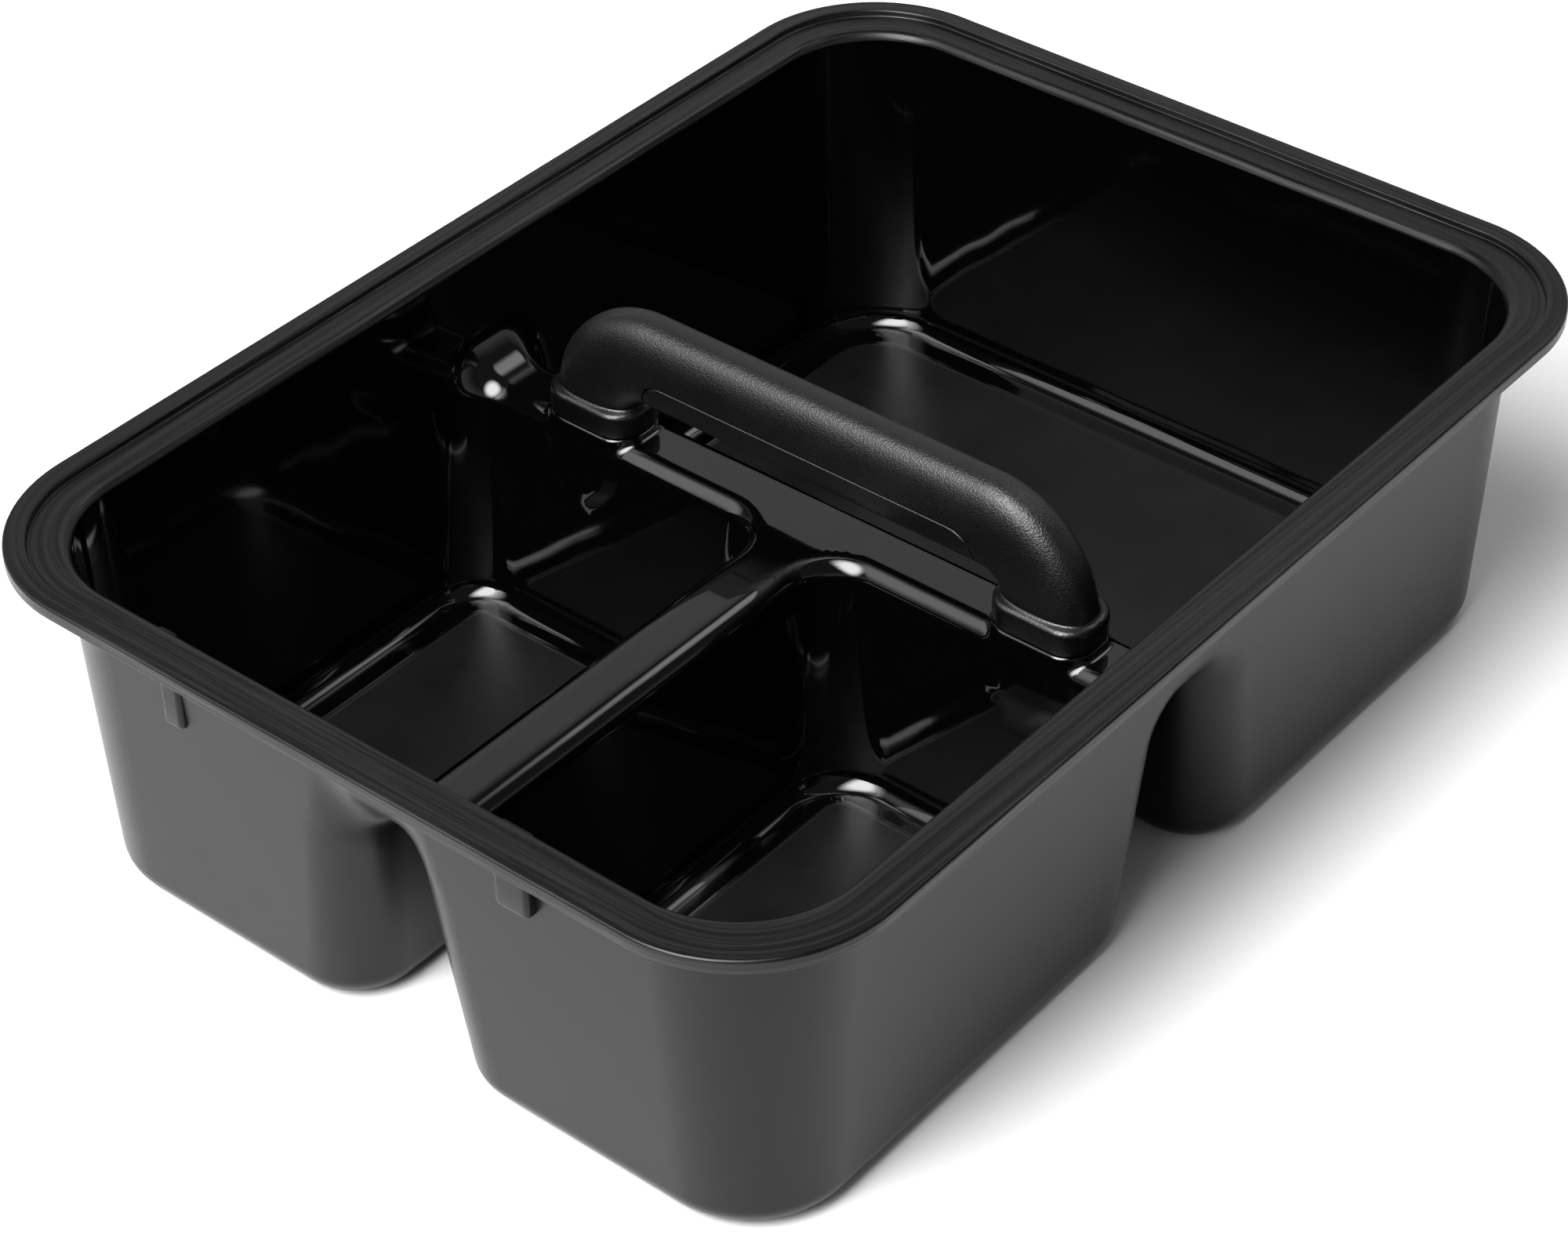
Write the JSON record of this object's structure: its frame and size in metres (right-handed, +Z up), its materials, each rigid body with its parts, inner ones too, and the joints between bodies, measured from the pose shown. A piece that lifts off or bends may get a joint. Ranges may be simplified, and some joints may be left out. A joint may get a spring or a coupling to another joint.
{
  "type": "cleaning caddy",
  "caption": "Open carry caddy in black plastic: a rimmed tub divided into one large and two small compartments, with a fixed arched carrying handle across the middle.",
  "frame": {"origin": "on the ground, centred under the tub", "axes": "+X along the tub from the two small compartments to the large one, +Y across the tub along the handle, +Z up"},
  "size_m": [0.38, 0.2804, 0.1128],
  "materials": {
    "tub_plastic": "gloss black inside and on the partitions, satin outside and on the floors",
    "handle_plastic": "fine pebbled grain, satin",
    "insert_plastic": "fine pebbled grain, satin",
    "screw_steel": "bright zinc"
  },
  "bodies": {
    "root": {"tub": "tub_plastic", "handle_body": "handle_plastic", "grip_insert": "insert_plastic", "collar_near": "handle_plastic", "collar_far": "handle_plastic", "screw_near_outer": "screw_steel", "screw_near_inner": "screw_steel", "screw_far_inner": "screw_steel", "screw_far_outer": "screw_steel"}
  },
  "joints": []
}
